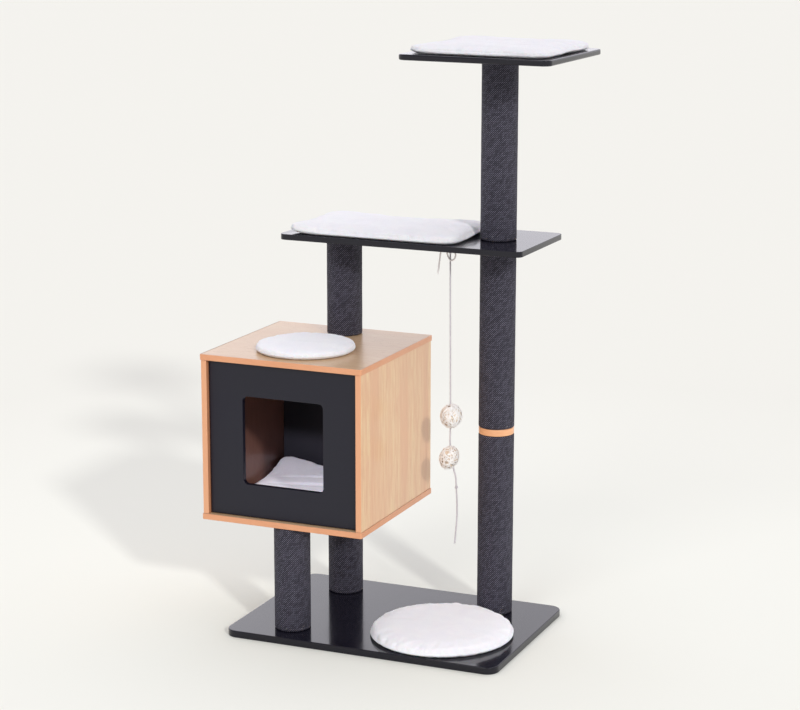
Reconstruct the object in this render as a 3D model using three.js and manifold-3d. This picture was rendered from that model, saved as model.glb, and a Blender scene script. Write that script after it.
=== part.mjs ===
// Free-standing cat tree, in millimetres. The origin is the middle of the base board's underside, +Z is up,
// +X runs right along the front edge and the front faces -Y.
import * as THREE from "three";
import { mergeVertices } from "three/addons/utils/BufferGeometryUtils.js";
import Module from "manifold-3d";

const wasm = await Module();
wasm.setup();

const GAP = 0.3; // between pieces that touch
const root = new THREE.Group();
root.name = "cat_tree";

// ---------------------------------------------------------------- sizes

const BASE = { x: 600, y: 406, z: 15, corner: 26, edge: 2 };
const BOARD = { z: 12, edge: 3 };

const POST_RADIUS = 37;
const WRAP = 4.7; // thickness of the woven wrap
const TUBE_WALL = 5;
const PLUG_HEIGHT = 30;
const ROUND = 28; // sides of a post

const FRONT_POST = [-176.5, -132];
const REAR_POST = [-178, 131];
const MAIN_POST = [172, 126];

const HOUSE = { x: 361, y: 363, z: 349, centre: [-180.5, 6.5], underside: 237.5 };
const PANEL = 12;
const EDGING = 2;
const PANEL_INSET = 2; // the floor and the roof stand out this far past the sides
const FRONT_RECESS = 10;
const FRONT_GAP = 1.5; // round the black front
const FRONT_CORNER = 2.5;
const DOORWAY = { x: 180, z: 185, corner: 10, edge: 1.5 };

const DISC = { underside: 405.5, z: 14 };
const MIDDLE = { x: 534, y: 254, corner: 14, centre: [1, 126], underside: 802.5 };
const TOP = { x: 322, y: 324, corner: 18, centre: [174, 126.5], underside: 1186 };

const BOLT_RADIUS = 4;
const BOLT_HOLE = BOLT_RADIUS + GAP;
const BOLT_HEAD = { radius: 9, z: 5, socket: 3, socketDepth: 2.5 };
const BOLT_REACH = 24; // past the board, into the plug
const BOLT_SIDES = 16;

const CORD = 3.5;
const CORD_SIDES = 8;
const UPPER_STEPS = 40;
const LOWER_STEPS = 40;
const HOOK = [82.5, 85]; // where the toy hangs under the middle shelf
const BALL_RADIUS = 25;

const BASE_TOP = BASE.z;
const HOUSE_TOP = HOUSE.underside + HOUSE.z;
const HOUSE_FLOOR_TOP = HOUSE.underside + PANEL;
const MIDDLE_TOP = MIDDLE.underside + BOARD.z;
const TOP_TOP = TOP.underside + BOARD.z;

// ---------------------------------------------------------------- materials

const finish = (color, roughness, metalness = 0) =>
  new THREE.MeshStandardMaterial({ color, roughness, metalness });
const blackGloss = () => finish(0x17171a, 0.15);
const blackSatin = () => finish(0x2b2b30, 0.5);
const beech = () => finish(0xd8b48a, 0.45);
const edgeStrip = () => finish(0xdf9a6c, 0.5);
const wovenBlack = () => finish(0x222226, 0.95);
const paper = () => finish(0x9a8466, 0.9);
const plugWood = () => finish(0xc7a878, 0.7);
const steel = () => finish(0xb8bbc0, 0.35, 1);
const plush = () => finish(0xf1eff4, 1);
const cordWhite = () => finish(0xe6dfd6, 0.9);
const wicker = () => finish(0xe9dfd2, 0.8);

// ---------------------------------------------------------------- tools

// A three.js geometry as a manifold solid.
function solid(geometry) {
  const bare = geometry.clone();
  bare.deleteAttribute("normal");
  bare.deleteAttribute("uv");
  const merged = mergeVertices(bare, 1e-4);
  return new wasm.Manifold(
    new wasm.Mesh({
      numProp: 3,
      vertProperties: new Float32Array(merged.attributes.position.array),
      triVerts: new Uint32Array(merged.index.array),
    }),
  );
}

// A manifold solid as a three.js geometry.
function shape(manifold) {
  const mesh = manifold.getMesh();
  const geometry = new THREE.BufferGeometry();
  geometry.setAttribute("position", new THREE.BufferAttribute(mesh.vertProperties, 3));
  geometry.setIndex(new THREE.BufferAttribute(mesh.triVerts, 1));
  geometry.computeVertexNormals();
  return geometry;
}

const moved = (geometry, x, y, z) => geometry.clone().translate(x, y, z);

function without(geometry, cutters) {
  return shape(cutters.reduce((left, cutter) => left.subtract(solid(cutter)), solid(geometry)));
}

function joined(pieces) {
  return shape(pieces.map(solid).reduce((whole, piece) => whole.add(piece)));
}

function piece(name, geometry, material) {
  const mesh = new THREE.Mesh(geometry, material);
  mesh.name = name;
  root.add(mesh);
}

function roundedRectangle(width, depth, corner) {
  const x = width / 2;
  const y = depth / 2;
  const outline = new THREE.Shape();
  outline.moveTo(-x + corner, -y);
  outline.lineTo(x - corner, -y);
  outline.absarc(x - corner, -y + corner, corner, -Math.PI / 2, 0);
  outline.lineTo(x, y - corner);
  outline.absarc(x - corner, y - corner, corner, 0, Math.PI / 2);
  outline.lineTo(-x + corner, y);
  outline.absarc(-x + corner, y - corner, corner, Math.PI / 2, Math.PI);
  outline.lineTo(-x, -y + corner);
  outline.absarc(-x + corner, -y + corner, corner, Math.PI, 1.5 * Math.PI);
  return outline;
}

// A flat board standing on z = 0, with round corners and softly rounded edges.
function slab(width, depth, height, corner, edge, cornerSteps = 5, edgeSteps = 2) {
  return new THREE.ExtrudeGeometry(roundedRectangle(width, depth, corner), {
    depth: height - 2 * edge,
    bevelThickness: edge,
    bevelSize: edge,
    bevelOffset: -edge,
    bevelSegments: edgeSteps,
    curveSegments: cornerSteps,
  }).translate(0, 0, edge);
}

// A body turned about the Z axis from [radius, z] points.
function turned(points, sides) {
  const profile = points.map(([r, z]) => new THREE.Vector2(r, z));
  return new THREE.LatheGeometry(profile, sides).rotateX(Math.PI / 2);
}

// The profile points run anticlockwise, so the faces look outward.
const rod = (radius, z0, z1, sides) => turned([[0, z0], [radius, z0], [radius, z1], [0, z1]], sides);

const sleeve = (inner, outer, z0, z1, sides) =>
  turned([[inner, z0], [outer, z0], [outer, z1], [inner, z1], [inner, z0]], sides);

// A plain round cord along a smooth route.
function cord(route, diameter, steps) {
  const circle = new THREE.Shape();
  circle.absarc(0, 0, diameter / 2, 0, 2 * Math.PI);
  const points = route.map((p) => new THREE.Vector3(...p));
  return new THREE.ExtrudeGeometry(circle, {
    steps,
    curveSegments: CORD_SIDES / 2,
    extrudePath: new THREE.CatmullRomCurve3(points, false, "centripetal"),
  });
}

// ---------------------------------------------------------------- fastenings

// A countersunk bolt: its flat head faces +Z at z = 0 and its shank runs down. The socket is hexagonal.
function bolt(length) {
  const body = turned(
    [[0, -length], [BOLT_RADIUS, -length], [BOLT_RADIUS, -BOLT_HEAD.z], [BOLT_HEAD.radius, 0], [0, 0]],
    BOLT_SIDES,
  );
  const socket = rod(BOLT_HEAD.socket, -BOLT_HEAD.socketDepth, 1, 6);
  return without(body, [socket]);
}

// The hole that such a bolt sits in, through a board that is thick as given.
const boltHole = (thickness) =>
  turned(
    [
      [0, -thickness - 1],
      [BOLT_HOLE, -thickness - 1],
      [BOLT_HOLE, -BOLT_HEAD.z],
      [BOLT_HEAD.radius + GAP, 0],
      [BOLT_HEAD.radius + GAP, 1],
      [0, 1],
    ],
    BOLT_SIDES,
  );

const plainHole = (thickness) => rod(BOLT_HOLE, -1, thickness + 1, BOLT_SIDES);
const upward = (geometry) => geometry.clone().rotateX(Math.PI);

// A bolt with its head at height z. It runs down, or up when the head looks down.
function placeBolt(name, [x, y], z, thickness, headDown) {
  const whole = bolt(thickness + BOLT_REACH);
  const inset = headDown ? GAP : -GAP;
  piece(name, moved(headDown ? upward(whole) : whole, x, y, z + inset), steel());
}

// ---------------------------------------------------------------- posts

// A wrapped post from z0 to z1: woven wrap, paper tube and a wooden plug in each end.
function post(name, [x, y], z0, z1) {
  const wrapInner = POST_RADIUS - WRAP;
  const tubeOuter = wrapInner - GAP;
  const tubeInner = tubeOuter - TUBE_WALL;
  const bottom = z0 + GAP;
  const top = z1 - GAP;
  const plug = sleeve(BOLT_HOLE, tubeInner - GAP, 0, PLUG_HEIGHT, ROUND / 2);
  piece(`${name}_wrap`, moved(sleeve(wrapInner, POST_RADIUS, bottom, top, ROUND), x, y, 0), wovenBlack());
  piece(`${name}_tube`, moved(sleeve(tubeInner, tubeOuter, bottom, top, ROUND), x, y, 0), paper());
  piece(`${name}_plug_lower`, moved(plug, x, y, bottom), plugWood());
  piece(`${name}_plug_upper`, moved(plug, x, y, top - PLUG_HEIGHT), plugWood());
}

function posts() {
  post("front_post", FRONT_POST, BASE_TOP, HOUSE.underside);
  post("rear_post", REAR_POST, BASE_TOP, HOUSE.underside);
  post("upper_rear_post", REAR_POST, HOUSE_TOP, MIDDLE.underside);
  post("main_post_lower", MAIN_POST, BASE_TOP, DISC.underside);
  post("main_post_middle", MAIN_POST, DISC.underside + DISC.z, MIDDLE.underside);
  post("main_post_upper", MAIN_POST, MIDDLE_TOP, TOP.underside);
}

// ---------------------------------------------------------------- base, disc and shelves

function base() {
  const board = slab(BASE.x, BASE.y, BASE.z, BASE.corner, BASE.edge, 6);
  const hole = upward(boltHole(BASE.z));
  const holes = [FRONT_POST, REAR_POST, MAIN_POST].map(([x, y]) => moved(hole, x, y, 0));
  piece("base_board", without(board, holes), blackGloss());
  placeBolt("base_bolt_front", FRONT_POST, 0, BASE.z, true);
  placeBolt("base_bolt_rear", REAR_POST, 0, BASE.z, true);
  placeBolt("base_bolt_main", MAIN_POST, 0, BASE.z, true);
}

function stud(name, [x, y], z, thickness) {
  piece(name, moved(rod(BOLT_RADIUS, -BOLT_REACH, thickness + BOLT_REACH, BOLT_SIDES), x, y, z), steel());
}

function spacerDisc() {
  const [x, y] = MAIN_POST;
  const disc = sleeve(BOLT_HOLE, POST_RADIUS, 0, DISC.z, ROUND);
  piece("spacer_disc", moved(disc, x, y, DISC.underside), edgeStrip());
  stud("spacer_stud", MAIN_POST, DISC.underside, DISC.z);
}

function shelf({ x, y, corner, centre, underside }, cutters) {
  const board = moved(slab(x, y, BOARD.z, corner, BOARD.edge), ...centre, underside);
  return without(board, cutters);
}

function shelves() {
  const studHole = moved(plainHole(BOARD.z), ...MAIN_POST, MIDDLE.underside);
  const middleHole = moved(boltHole(BOARD.z), ...REAR_POST, MIDDLE_TOP);
  const topHole = moved(boltHole(BOARD.z), ...MAIN_POST, TOP_TOP);
  const hookHole = moved(rod(EYE.shank + GAP, -1, EYE.depth + GAP, BOLT_SIDES), ...HOOK, MIDDLE.underside);
  piece("middle_shelf", shelf(MIDDLE, [studHole, middleHole, hookHole]), blackGloss());
  piece("top_shelf", shelf(TOP, [topHole]), blackGloss());
  stud("shelf_stud", MAIN_POST, MIDDLE.underside, BOARD.z);
  placeBolt("shelf_bolt", REAR_POST, MIDDLE_TOP, BOARD.z, false);
  placeBolt("top_shelf_bolt", MAIN_POST, TOP_TOP, BOARD.z, false);
}

// ---------------------------------------------------------------- house

// A floor or roof panel and the wood strip glued round its edge.
function edgedPanel(name, underside, cutters) {
  const [cx, cy] = HOUSE.centre;
  const corner = EDGING + 1.5;
  const inner = (extra) =>
    slab(HOUSE.x - 2 * EDGING - extra, HOUSE.y - 2 * EDGING - extra, PANEL, corner - EDGING, 0.2, 2, 1);
  const opening = inner(0).scale(1, 1, 2).translate(0, 0, -PANEL / 2);
  const strip = without(slab(HOUSE.x, HOUSE.y, PANEL, corner, 1.8, 3), [opening]);
  const panel = moved(inner(2 * GAP), cx, cy, underside);
  piece(`${name}_edging`, moved(strip, cx, cy, underside), edgeStrip());
  piece(name, without(panel, cutters), beech());
}

function sidePanel(name, x) {
  const depth = HOUSE.y - 2 * PANEL_INSET;
  const height = HOUSE.z - 2 * PANEL - 2 * GAP;
  const panel = slab(PANEL, depth, height, 1, 0.3, 2, 1);
  piece(name, moved(panel, x, HOUSE.centre[1], HOUSE_FLOOR_TOP + GAP), beech());
}

// A panel that stands between the two sides, drawn lying down and then stood up facing -Y.
function standingPanel(width, height, corner, edge, y) {
  const flat = slab(width, height, PANEL, corner, edge, 2);
  const centreZ = HOUSE.underside + HOUSE.z / 2;
  return moved(flat.rotateX(Math.PI / 2), HOUSE.centre[0], y, centreZ);
}

function house() {
  const [cx, cy] = HOUSE.centre;
  const floorHoles = [FRONT_POST, REAR_POST].map((at) => moved(boltHole(PANEL), ...at, HOUSE_FLOOR_TOP));
  const roofUnderside = HOUSE_TOP - PANEL;
  const roofHole = moved(upward(boltHole(PANEL)), ...REAR_POST, roofUnderside);
  edgedPanel("house_floor", HOUSE.underside, floorHoles);
  edgedPanel("house_roof", roofUnderside, [roofHole]);
  placeBolt("floor_bolt_front", FRONT_POST, HOUSE_FLOOR_TOP, PANEL, false);
  placeBolt("floor_bolt_rear", REAR_POST, HOUSE_FLOOR_TOP, PANEL, false);
  placeBolt("roof_bolt", REAR_POST, roofUnderside, PANEL, true);

  const sideX = HOUSE.x / 2 - PANEL_INSET - PANEL / 2;
  sidePanel("house_left_side", cx - sideX);
  sidePanel("house_right_side", cx + sideX);

  const innerWidth = HOUSE.x - 2 * PANEL_INSET - 2 * PANEL;
  const innerHeight = HOUSE.z - 2 * PANEL;
  const halfDepth = HOUSE.y / 2 - PANEL_INSET;
  const backY = cy + halfDepth - GAP;
  const back = standingPanel(innerWidth - 2 * GAP, innerHeight - 2 * GAP, 1, 0.3, backY);
  piece("house_back", back, blackSatin());

  const frontY = cy - halfDepth + FRONT_RECESS + PANEL;
  const frontSize = [innerWidth - 2 * FRONT_GAP, innerHeight - 2 * FRONT_GAP];
  const front = standingPanel(...frontSize, FRONT_CORNER, DOORWAY.edge, frontY);
  const doorway = slab(DOORWAY.x, DOORWAY.z, 3 * PANEL, DOORWAY.corner, 0.1, 5, 1)
    .rotateX(Math.PI / 2)
    .translate(cx, frontY + PANEL, HOUSE.underside + HOUSE.z / 2);
  piece("house_front", without(front, [doorway]), blackSatin());
}

// ---------------------------------------------------------------- plush pads

const PAD_SIDES = 36;
const PAD_EDGE = 9; // roundness of a square pad's edge
const ROUND_PADS = [
  { name: "base_mat", at: [126, -54, BASE_TOP], radius: 147, rim: 10, crown: 15 },
  { name: "roof_pad", at: [-181, -52, HOUSE_TOP], radius: 101.5, rim: 9, crown: 12 },
];
const SQUARE_PADS = [
  { name: "house_pad", at: [-180.5, 11.5, HOUSE_FLOOR_TOP], size: [325, 318, 30], corner: 24 },
  { name: "middle_pad", at: [-66, 121, MIDDLE_TOP], size: [376, 228, 22], corner: 40 },
  { name: "top_pad", at: [173, 126, TOP_TOP], size: [295, 295, 19], corner: 45 },
];

// A round pad with a soft rim and a low crown.
function roundPad({ radius, rim, crown }) {
  return turned(
    [
      [0, 0],
      [radius - rim / 2, 0],
      [radius, rim / 2],
      [radius - rim / 3, rim],
      [radius * 0.85, rim + crown * 0.55],
      [radius * 0.55, rim + crown * 0.9],
      [0, rim + crown],
    ],
    PAD_SIDES,
  );
}

function pads() {
  const place = (name, [x, y, z], geometry) => piece(name, moved(geometry, x, y, z + GAP), plush());
  ROUND_PADS.forEach((pad) => place(pad.name, pad.at, roundPad(pad)));
  SQUARE_PADS.forEach(({ name, at, size, corner }) => place(name, at, slab(...size, corner, PAD_EDGE, 5, 2)));
}

// ---------------------------------------------------------------- hanging toy

const EYE = { radius: 3.5, wire: 0.9, drop: 5, shank: 1.5, depth: 8 };
const TIE = { radius: 3.6, below: 4.1 }; // the loop of cord that passes through the eye
const KNOT = { radius: 3.9, z: 7 };
const EYE_CENTRE = MIDDLE.underside - EYE.drop;
const TIE_CENTRE = EYE_CENTRE - TIE.below;
const KNOT_TOP = TIE_CENTRE - TIE.radius + CORD / 2;
const KNOT_BOTTOM = KNOT_TOP - KNOT.z;
const BALL_UPPER = [87, HOOK[1], 442];
const BALL_LOWER = [83, HOOK[1], 352];
const TAIL_KNOT = { at: [99.2, HOOK[1], 289], radius: 3.6, z: 6 };

// The two lengths of cord meet at the foot of the upper ball, where the cord bends. Each route is [x, z].
const BEND = BALL_UPPER[2] - BALL_RADIUS;
const UPPER_ROUTE = [
  [82.5, KNOT_BOTTOM - GAP],
  [83.2, 680],
  [84, 580],
  [84.8, 470],
  [85, BEND + GAP],
];
const LOWER_ROUTE = [
  [85, BEND - 2 * GAP],
  [84.6, 385],
  [87.5, 357],
  [92.5, 330],
  [97.6, 312],
  [98.7, 297],
  [99.6, 282],
  [101, 256],
  [101, 224],
  [99, 195],
  [96.6, 169],
];

// The bow and the loose end, from the knot's top.
const BOW_FORWARD = 6;
const BOW_STEPS = 32;
const BOW_ROUTE = [
  [6.5, 1],
  [11.3, -1],
  [14, -8],
  [11.5, -16],
  [6, -19.6],
  [0.3, -16.6],
  [-3.6, -9],
  [-6.8, -1],
  [-13, 1],
  [-18.6, -4],
  [-21, -20],
  [-24.5, -46],
];

const STRIP = { width: 5, thick: 1.6, sides: 14, tilt: 0.4 };
const ring = (radius, wire, sides = 6, steps = 14) => new THREE.TorusGeometry(radius, wire, sides, steps);

function screwEye() {
  const loop = moved(ring(EYE.radius, EYE.wire).rotateX(Math.PI / 2), 0, 0, EYE_CENTRE);
  const shank = rod(EYE.shank, EYE_CENTRE + EYE.radius, MIDDLE.underside + EYE.depth, 12);
  piece("screw_eye", moved(joined([loop, shank]), ...HOOK, 0), steel());
}

// The cord is tied through the screw eye: a loop, and the knot that closes it.
function toyKnot() {
  const loop = moved(ring(TIE.radius, CORD / 2).rotateY(Math.PI / 2), 0, 0, TIE_CENTRE);
  const whole = joined([loop, moved(knot(KNOT), 0, 0, KNOT_TOP - KNOT.z / 2)]);
  piece("toy_knot", moved(whole, ...HOOK, 0), cordWhite());
}

const knot = ({ radius, z }) =>
  new THREE.SphereGeometry(1, 12, 8).rotateX(Math.PI / 2).scale(radius, radius, z / 2);

// What is left of the cord above the knot: a bow that hangs in front of it, and a loose end.
function toyBow() {
  const route = BOW_ROUTE.map(([x, z]) => [HOOK[0] + x, HOOK[1] - BOW_FORWARD, KNOT_TOP + z]);
  piece("toy_bow", cord(route, CORD, BOW_STEPS), cordWhite());
}

// An open ball woven from flat strips: upright hoops and a belt, with the way of the cord left free.
function wovenBall(name, [x, y, z], cordWay) {
  const half = STRIP.width / 2;
  const strip = sleeve(BALL_RADIUS - STRIP.thick, BALL_RADIUS, -half, half, STRIP.sides);
  const hoops = [0, 1, 2, 3].map((turn) =>
    strip
      .clone()
      .rotateX(Math.PI / 2 - STRIP.tilt * (turn % 2))
      .rotateZ(((turn + 0.5) * Math.PI) / 4),
  );
  const ball = moved(joined([...hoops, strip]), x, y, z);
  piece(name, without(ball, cordWay), wicker());
}

const atCord = (route) => route.map(([x, z]) => [x, HOOK[1], z]);

function toy() {
  screwEye();
  toyKnot();
  toyBow();
  const upper = atCord(UPPER_ROUTE);
  const lower = atCord(LOWER_ROUTE);
  piece("toy_cord_upper", cord(upper, CORD, UPPER_STEPS), cordWhite());
  piece("toy_cord_lower", cord(lower, CORD, LOWER_STEPS), cordWhite());
  const wide = CORD + 2 * GAP;
  const upperWay = cord(upper, wide, UPPER_STEPS);
  const lowerWay = cord(lower, wide, LOWER_STEPS);
  wovenBall("toy_ball_upper", BALL_UPPER, [upperWay, lowerWay]);
  wovenBall("toy_ball_lower", BALL_LOWER, [lowerWay]);
  piece("toy_tail_knot", without(moved(knot(TAIL_KNOT), ...TAIL_KNOT.at), [lowerWay]), cordWhite());
}

base();
posts();
spacerDisc();
shelves();
house();
pads();
toy();

export default root;
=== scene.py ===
"""The looks of the cat tree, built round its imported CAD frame. In metres, +Z up; the front faces -Y."""
import math
import random

import bmesh
import bpy
import numpy as np
from mathutils import Matrix, Vector, noise
from mathutils.bvhtree import BVHTree


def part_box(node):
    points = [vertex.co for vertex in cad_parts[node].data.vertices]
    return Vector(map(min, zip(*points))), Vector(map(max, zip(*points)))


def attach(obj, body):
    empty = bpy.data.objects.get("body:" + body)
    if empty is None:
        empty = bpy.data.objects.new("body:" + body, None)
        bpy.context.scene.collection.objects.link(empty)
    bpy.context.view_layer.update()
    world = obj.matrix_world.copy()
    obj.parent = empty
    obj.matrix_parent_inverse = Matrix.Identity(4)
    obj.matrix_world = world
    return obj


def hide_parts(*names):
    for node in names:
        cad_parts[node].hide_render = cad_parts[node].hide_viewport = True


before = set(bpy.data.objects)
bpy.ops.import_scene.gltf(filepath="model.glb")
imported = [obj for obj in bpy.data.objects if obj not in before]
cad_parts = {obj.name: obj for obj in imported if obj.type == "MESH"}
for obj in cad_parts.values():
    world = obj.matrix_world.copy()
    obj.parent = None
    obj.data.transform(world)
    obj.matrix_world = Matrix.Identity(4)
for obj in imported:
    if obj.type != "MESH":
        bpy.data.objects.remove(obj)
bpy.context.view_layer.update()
scene = bpy.context.scene

MM = 0.001

# ---- camera

CAMERA_AT = (1.7748, -4.0441, 1.5734)
CAMERA_AZIMUTH, CAMERA_ELEVATION, CAMERA_ROLL = 20.95, 12.59, 0.64
LENS = 99.35
SENSOR = 36.0
SHIFT = (-0.125, -0.0025)  # the object stands off the lens axis


def make_camera():
    data = bpy.data.cameras.new("camera")
    data.lens = LENS
    data.sensor_width = SENSOR
    data.shift_x, data.shift_y = SHIFT
    data.clip_end = 300
    camera = bpy.data.objects.new("camera", data)
    scene.collection.objects.link(camera)
    turn = Matrix.Rotation(math.radians(CAMERA_AZIMUTH), 4, "Z")
    turn = turn @ Matrix.Rotation(math.radians(90 - CAMERA_ELEVATION), 4, "X")
    turn = turn @ Matrix.Rotation(math.radians(CAMERA_ROLL), 4, "Z")
    camera.matrix_world = Matrix.Translation(CAMERA_AT) @ turn
    scene.camera = camera


make_camera()

# ---- materials


def add_node(tree, kind, inputs=None, **options):
    """A new shader node. Each input is given a plain value or is linked to a socket."""
    made = tree.nodes.new("ShaderNode" + kind)
    for option, value in options.items():
        setattr(made, option, value)
    for socket, value in (inputs or {}).items():
        if isinstance(value, bpy.types.NodeSocket):
            tree.links.new(value, made.inputs[socket])
        else:
            made.inputs[socket].default_value = value
    return made


def add_range(tree, value, low, high, to_low, to_high, **options):
    """A node that maps low..high onto to_low..to_high, held at the ends."""
    names = ("Value", "From Min", "From Max", "To Min", "To Max")
    inputs = dict(zip(names, (value, low, high, to_low, to_high)))
    return add_node(tree, "MapRange", inputs, **options).outputs[0]


class Finish:
    """A material in the making: a Principled shader and the nodes that feed it."""

    def __init__(self, name, **settings):
        self.material = bpy.data.materials.new(name)
        self.material.use_nodes = True
        self.tree = self.material.node_tree
        self.shader = self.tree.nodes["Principled BSDF"]
        for socket, value in settings.items():
            self.shader.inputs[socket.replace("_", " ")].default_value = value
        self.place = self.node("TexCoord").outputs["Object"]

    def node(self, kind, inputs=None, **options):
        return add_node(self.tree, kind, inputs, **options)

    def math(self, operation, first, second=0.0):
        return self.node("Math", {0: first, 1: second}, operation=operation).outputs[0]

    def stretched(self, x, y, z):
        """The object's own coordinates, scaled along each axis."""
        return self.node("Mapping", {"Vector": self.place, "Scale": (x, y, z)}).outputs[0]

    def noise(self, scale, detail=4.0, roughness=0.5, distortion=0.0, vector=None):
        inputs = {"Vector": vector or self.place, "Scale": scale, "Detail": detail}
        inputs |= {"Roughness": roughness, "Distortion": distortion}
        return self.node("TexNoise", inputs).outputs["Fac"]

    def spread(self, value, low, high, to_low=0.0, to_high=1.0):
        return add_range(self.tree, value, low, high, to_low, to_high)

    def mixed(self, amount, first, second):
        made = self.node("Mix", {"Factor": amount}, data_type="RGBA")
        for name, value in (("A", first), ("B", second)):
            socket = next(s for s in made.inputs if s.name == name and s.type == "RGBA")
            if isinstance(value, bpy.types.NodeSocket):
                self.tree.links.new(value, socket)
            else:
                socket.default_value = (*value, 1.0)
        return next(s for s in made.outputs if s.type == "RGBA")

    def drive(self, socket, value):
        self.tree.links.new(value, self.shader.inputs[socket])

    def bump(self, height, distance, strength=1.0, under=None):
        inputs = {"Height": height, "Distance": distance, "Strength": strength}
        if under:
            inputs["Normal"] = under
        return self.node("Bump", inputs).outputs[0]


def lacquer(name, colour, roughness, peel, coat, coat_roughness, shine):
    """Sprayed paint: a faint orange peel, a little haze where it was handled, and fine specks."""
    made = Finish(name, Coat_Weight=coat, Coat_Roughness=coat_roughness, Specular_IOR_Level=shine)
    haze = made.noise(9.0, 3.0)
    specks = made.spread(made.noise(900.0, 2.0), 0.66, 0.72)
    base = made.mixed(haze, colour, tuple(1.35 * c for c in colour))
    lighter = tuple(3.0 * c for c in colour)
    made.drive("Base Color", made.mixed(made.math("MULTIPLY", specks, 0.35), base, lighter))
    made.drive("Roughness", made.spread(haze, 0.3, 0.7, roughness * 0.85, roughness * 1.25))
    made.drive("Normal", made.bump(made.noise(260.0, 3.0), peel))
    return made.material


def grained(name, tones, along, roughness, coat, relief, house=None):
    """Wood-print laminate with its grain along one axis.

    On the house's sides, `house` gives the middle of the house, half the width between the inner
    faces, and how far back the front edge strip and the recess in front of the window panel reach.
    The inner faces get painted shade: deep brown behind the window panel, darker orange in the recess.
    """
    pale, warm, pore = tones
    made = Finish(name, Coat_Weight=coat, Coat_Roughness=0.1)

    def pattern(scale, detail, roughness, distortion, with_grain, across_grain):
        stretch = [with_grain if axis == along else across_grain for axis in "XYZ"]
        return made.noise(scale, detail, roughness, distortion, made.stretched(*stretch))

    wide = pattern(5.0, 5.0, 0.55, 0.6, 0.35, 6.3)
    fine = pattern(38.0, 6.0, 0.62, 0.3, 0.5, 14.0)
    streak = pattern(40.0, 4.0, 0.6, 0.0, 0.35, 14.0)
    flame = pattern(60.0, 6.0, 0.65, 0.5, 0.2, 2.2)
    colour = made.mixed(made.spread(wide, 0.38, 0.66), pale, warm)
    colour = made.mixed(made.spread(flame, 0.46, 0.6, 0.0, 0.85), colour, warm)
    colour = made.mixed(made.spread(fine, 0.45, 0.75, 0.0, 0.5), colour, warm)
    colour = made.mixed(made.spread(streak, 0.5, 0.7, 0.0, 0.7), colour, pore)
    if house:
        middle, half_width, strip_back, recess_back = house
        at = made.node("SeparateXYZ", {"Vector": made.place}).outputs
        off_middle = made.math("ABSOLUTE", made.math("SUBTRACT", at["X"], middle))
        inner_face = made.math("LESS_THAN", off_middle, half_width)
        recess = made.math("LESS_THAN", at["Y"], recess_back)
        # Painted shade: the inner faces are coloured darker than the laminate, deep brown behind the window
        # panel and darker orange in the recess
        lining = made.mixed(recess, INSIDE_PAINTED_SHADE, STRIP_STREAK_AND_RECESS_SHADE)
        lining = made.mixed(made.spread(fine, 0.4, 0.7, 0.0, 0.3), lining, INSIDE_PAINTED_SHADE_PORE)
        colour = made.mixed(inner_face, colour, lining)
        streaked = made.mixed(made.spread(streak, 0.4, 0.7, 0.0, 0.35), STRIP, warm)
        colour = made.mixed(made.math("LESS_THAN", at["Y"], strip_back), colour, streaked)
    made.drive("Base Color", colour)
    made.drive("Roughness", made.spread(fine, 0.3, 0.7, roughness * 0.85, roughness * 1.2))
    made.drive("Normal", made.bump(streak, relief))
    return made.material


def edge_strip(name, colour, streaks):
    """Printed edge strip: fine streaks that run round with the strip."""
    made = Finish(name, Coat_Weight=0.15, Coat_Roughness=0.2)
    lines = made.noise(70.0, 5.0, 0.6, 0.2, made.stretched(1.0, 1.0, 16.0))
    patches = made.noise(14.0, 2.0)
    base = made.mixed(made.spread(patches, 0.35, 0.65, 0.0, 0.35), colour, streaks)
    made.drive("Base Color", made.mixed(made.spread(lines, 0.45, 0.7, 0.0, 0.6), base, streaks))
    made.drive("Roughness", made.spread(lines, 0.3, 0.7, 0.306, 0.408))
    made.drive("Normal", made.bump(lines, 0.00008))
    return made.material


ROW = 4.6 * MM  # height of one row of the post's weave
STRAND = 4.2 * MM  # distance between strands along a row
STRAND_SLANT = 1.05  # strands that a strand moves along in one row
STRAND_RELIEF = 1.3 * MM
# colour of the painted highlight on the strands' crowns
STRAND_PAINTED_HIGHLIGHT = (0.19, 0.18, 0.24)


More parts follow.
